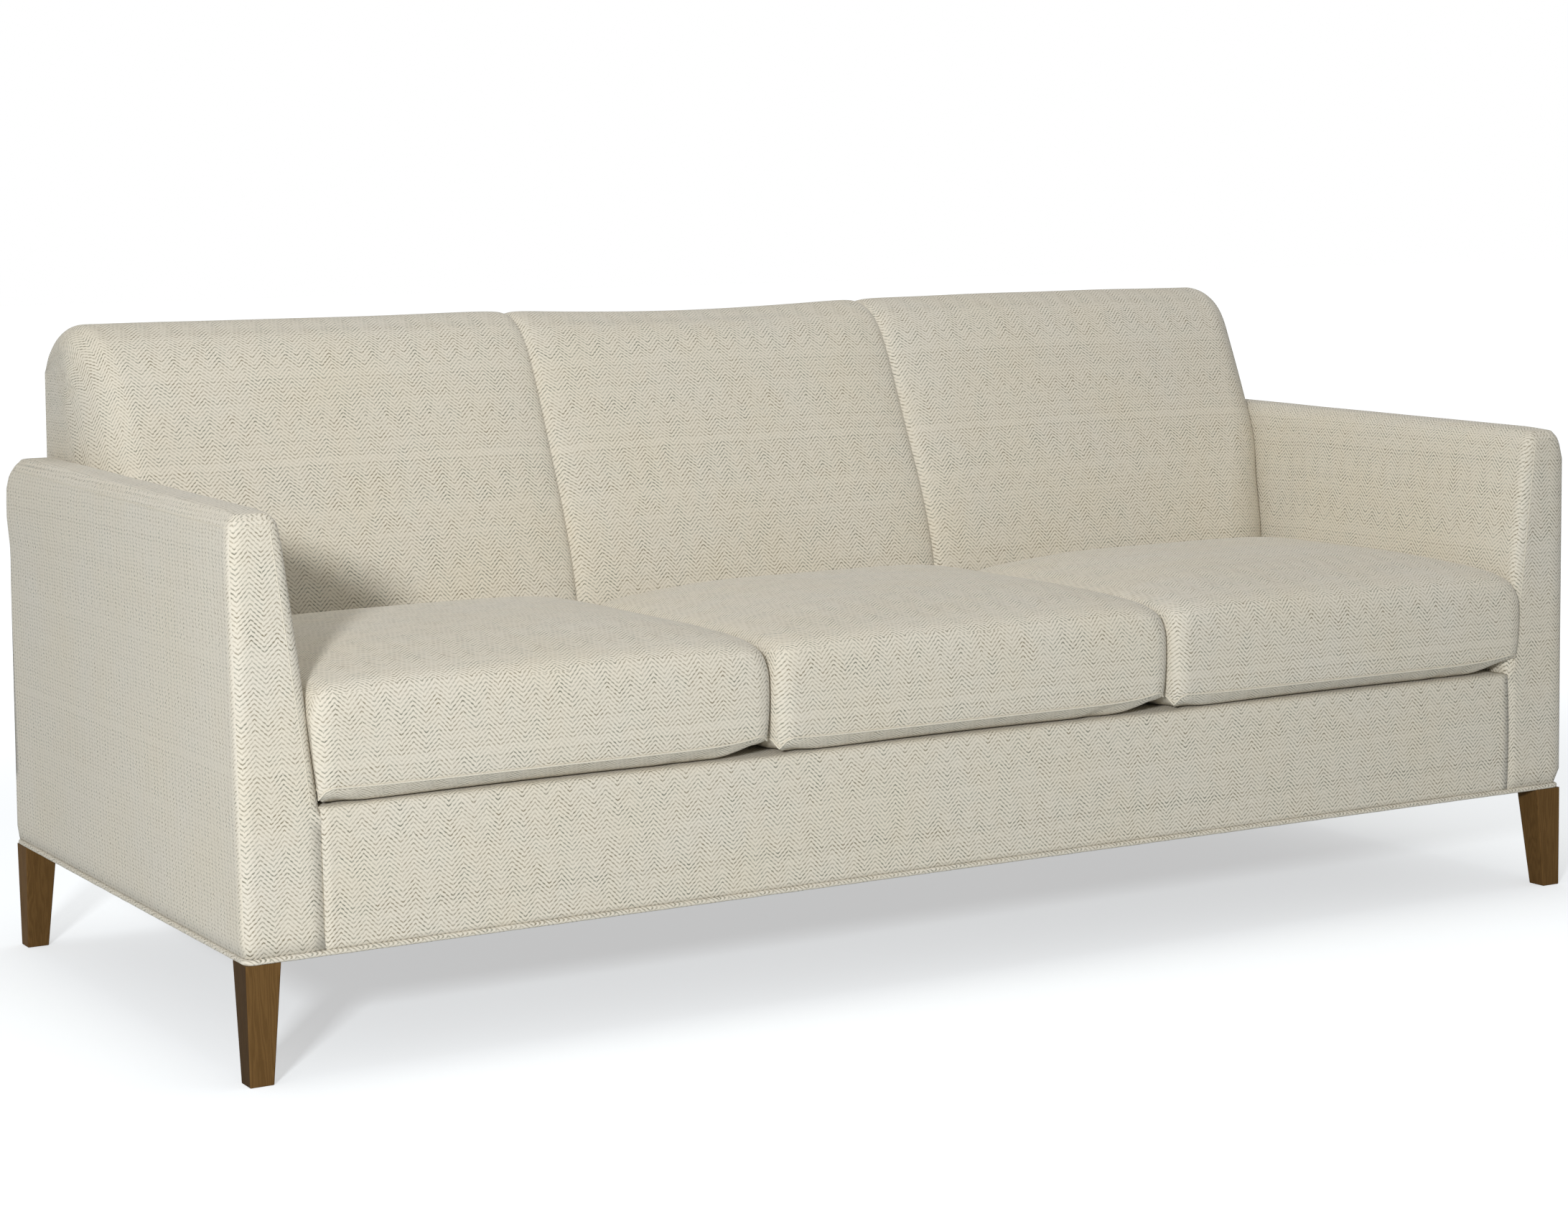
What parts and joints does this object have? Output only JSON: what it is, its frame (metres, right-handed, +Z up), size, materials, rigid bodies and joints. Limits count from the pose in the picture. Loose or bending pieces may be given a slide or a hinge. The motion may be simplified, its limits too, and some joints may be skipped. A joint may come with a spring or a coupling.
{
  "type": "three-seat sofa",
  "caption": "Straight-topped tight-back sofa in cream herringbone fabric, with loose seat cushions, slim tapered arms and tapered wooden legs.",
  "frame": {"origin": "on the floor, at the middle of the sofa's width and depth", "axes": "+X along the sofa's width towards its left arm as one sits in it (right in the picture), the front faces -Y, +Z is up"},
  "size_m": [2.032, 0.914, 0.87],
  "materials": {
    "upholstery_fabric": "matte",
    "foam": "matte",
    "frame_wood": "matte",
    "stained_wood": "satin",
    "spring_steel": "satin",
    "zinc_steel": "satin",
    "webbing": "matte",
    "dust_cloth": "matte",
    "zip_metal": "satin"
  },
  "bodies": {
    "sofa_body": {"arm_cover_left": "upholstery_fabric", "arm_pad_left": "foam", "arm_front_post_left": "frame_wood", "arm_rear_post_left": "frame_wood", "arm_top_rail_left": "frame_wood", "side_rail_left": "frame_wood", "cross_rail_left": "frame_wood", "back_post_left": "frame_wood", "back_upright_left": "frame_wood", "arm_cover_right": "upholstery_fabric", "arm_pad_right": "foam", "arm_front_post_right": "frame_wood", "arm_rear_post_right": "frame_wood", "arm_top_rail_right": "frame_wood", "side_rail_right": "frame_wood", "cross_rail_right": "frame_wood", "back_post_right": "frame_wood", "back_upright_right": "frame_wood", "leg_front_left": "stained_wood", "leg_bolt_front_left": "zinc_steel", "corner_block_front_left": "frame_wood", "leg_front_right": "stained_wood", "leg_bolt_front_right": "zinc_steel", "corner_block_front_right": "frame_wood", "leg_rear_left": "stained_wood", "leg_bolt_rear_left": "zinc_steel", "corner_block_rear_left": "frame_wood", "leg_rear_right": "stained_wood", "leg_bolt_rear_right": "zinc_steel", "corner_block_rear_right": "frame_wood", "front_rail": "frame_wood", "rear_rail": "frame_wood", "seat_rear_rail": "frame_wood", "back_lower_rail": "frame_wood", "back_top_rail": "frame_wood", "seat_spring_left_a": "spring_steel", "seat_spring_left_b": "spring_steel", "back_pad_left": "foam", "seat_spring_centre_a": "spring_steel", "seat_spring_centre_b": "spring_steel", "back_pad_centre": "foam", "seat_spring_right_a": "spring_steel", "seat_spring_right_b": "spring_steel", "back_pad_right": "foam", "deck_cover": "upholstery_fabric", "inside_back_cover": "upholstery_fabric", "outside_back_cover": "upholstery_fabric", "bottom_welt": "upholstery_fabric", "deck_pad": "foam", "back_webbing": "webbing", "dust_cover": "dust_cloth"},
    "seat_cushion_left": {"seat_cushion_cover_left": "upholstery_fabric", "seat_cushion_core_left": "foam"},
    "zip_slider_left_body": {"zip_slider_left": "zip_metal"},
    "seat_cushion_centre": {"seat_cushion_cover_centre": "upholstery_fabric", "seat_cushion_core_centre": "foam"},
    "zip_slider_centre_body": {"zip_slider_centre": "zip_metal"},
    "seat_cushion_right": {"seat_cushion_cover_right": "upholstery_fabric", "seat_cushion_core_right": "foam"},
    "zip_slider_right_body": {"zip_slider_right": "zip_metal"}
  },
  "joints": [
    {"name": "seat_cushion_left_lift", "type": "slide", "parent": "sofa_body", "child": "seat_cushion_left", "axis": [0, 0, 1], "range_m": [0, 0.4]},
    {"name": "zip_left_slide", "type": "slide", "parent": "seat_cushion_left", "child": "zip_slider_left_body", "axis": [1, 0, 0], "range_m": [0, 0.42]},
    {"name": "seat_cushion_centre_lift", "type": "slide", "parent": "sofa_body", "child": "seat_cushion_centre", "axis": [0, 0, 1], "range_m": [0, 0.4]},
    {"name": "zip_centre_slide", "type": "slide", "parent": "seat_cushion_centre", "child": "zip_slider_centre_body", "axis": [1, 0, 0], "range_m": [0, 0.42]},
    {"name": "seat_cushion_right_lift", "type": "slide", "parent": "sofa_body", "child": "seat_cushion_right", "axis": [0, 0, 1], "range_m": [0, 0.4]},
    {"name": "zip_right_slide", "type": "slide", "parent": "seat_cushion_right", "child": "zip_slider_right_body", "axis": [1, 0, 0], "range_m": [0, 0.42]}
  ]
}
